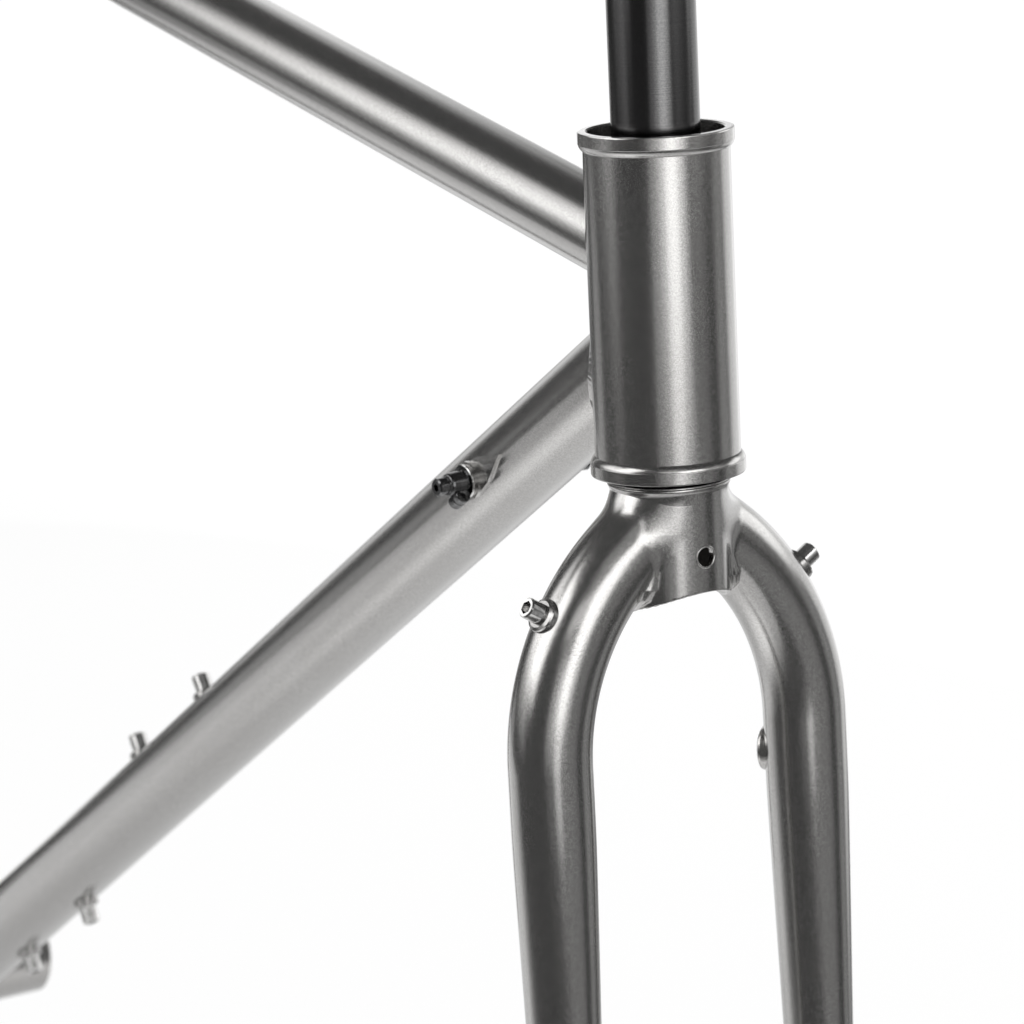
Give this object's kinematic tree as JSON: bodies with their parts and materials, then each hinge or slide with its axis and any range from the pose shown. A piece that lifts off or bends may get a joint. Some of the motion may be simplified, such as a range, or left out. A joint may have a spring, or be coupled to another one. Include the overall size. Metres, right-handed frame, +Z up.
{
  "type": "bicycle frameset",
  "caption": "Painted steel diamond bicycle frame with a raked unicrown disc fork that turns in two head bearings, with bottle cage, cable stop and carrier bosses.",
  "frame": {"origin": "centre of the bottom bracket shell", "axes": "+X forward, +Y to the rider's left along the bottom bracket axis, +Z up, the bicycle standing level"},
  "size_m": [1.0668, 0.1669, 0.7568],
  "materials": {
    "frame_paint": "metallic silver grey, satin gloss",
    "black_steerer": "satin black",
    "bolt_steel": "stainless, turned",
    "black_bolt": "black oxide",
    "stop_black": "black anodised",
    "bearing_cup": "black anodised",
    "bearing_steel": "ground",
    "ball_steel": "polished",
    "race_painted": "metallic silver grey",
    "hanger_alloy": "bead blasted",
    "clamp_alloy": "black anodised"
  },
  "bodies": {
    "frame": {"head_tube": "frame_paint", "head_tube_lower_ring": "frame_paint", "head_tube_upper_ring": "frame_paint", "top_tube": "frame_paint", "down_tube": "frame_paint", "seat_tube": "frame_paint", "bottom_bracket_shell": "frame_paint", "chainstay_left": "frame_paint", "chainstay_right": "frame_paint", "seatstay_left": "frame_paint", "seatstay_right": "frame_paint", "seatstay_bridge": "frame_paint", "chainstay_bridge": "frame_paint", "rear_dropout_left": "frame_paint", "rear_dropout_right": "frame_paint", "rear_brake_tab": "frame_paint", "bottle_bosses_down_tube_upper": "frame_paint", "bottle_bosses_down_tube_lower": "frame_paint", "bottle_bosses_seat_tube": "frame_paint", "rack_bosses_seat_stays": "frame_paint", "shifter_boss_left": "frame_paint", "shifter_boss_right": "frame_paint", "bottle_bolts_down_tube_upper": "bolt_steel", "bottle_bolts_down_tube_lower": "bolt_steel", "cable_stop_left": "stop_black", "cable_stop_right": "stop_black", "cable_stop_bolt_left": "black_bolt", "cable_stop_bolt_right": "black_bolt", "seat_clamp_bolt": "black_bolt", "seat_clamp": "clamp_alloy", "derailleur_hanger": "hanger_alloy", "hanger_screws": "black_bolt", "upper_bearing_cup": "bearing_cup", "upper_bearing_outer_race": "bearing_steel", "lower_bearing_cup": "bearing_cup", "lower_bearing_outer_race": "bearing_steel"},
    "fork": {"crown_neck": "frame_paint", "fork_blade_left": "frame_paint", "fork_blade_right": "frame_paint", "fork_dropout_left": "frame_paint", "fork_dropout_right": "frame_paint", "fork_brake_tab": "frame_paint", "fork_boss_left": "frame_paint", "fork_boss_right": "frame_paint", "hose_guide_boss": "frame_paint", "steerer_tube": "black_steerer", "crown_race": "race_painted", "fork_boss_bolt_left": "bolt_steel", "fork_boss_bolt_right": "bolt_steel", "upper_bearing_inner_race": "bearing_steel", "lower_bearing_inner_race": "bearing_steel", "centring_ring": "bearing_cup"},
    "upper_balls": {"upper_bearing_balls": "ball_steel"},
    "lower_balls": {"lower_bearing_balls": "ball_steel"}
  },
  "joints": [
    {"name": "fork_steer", "type": "hinge", "parent": "frame", "child": "fork", "pos_m": [0.42348, 0, 0.45008], "axis": [-0.309, 0, 0.9511], "continuous": true},
    {"name": "upper_balls_roll", "type": "hinge", "parent": "frame", "child": "upper_balls", "pos_m": [0.42348, 0, 0.45008], "axis": [-0.309, 0, 0.9511], "continuous": true},
    {"name": "lower_balls_roll", "type": "hinge", "parent": "frame", "child": "lower_balls", "pos_m": [0.42348, 0, 0.45008], "axis": [-0.309, 0, 0.9511], "continuous": true}
  ],
  "couplings": [
    {"joint": "upper_balls_roll", "follows": "fork_steer", "ratio": 0.459},
    {"joint": "lower_balls_roll", "follows": "fork_steer", "ratio": 0.459}
  ]
}
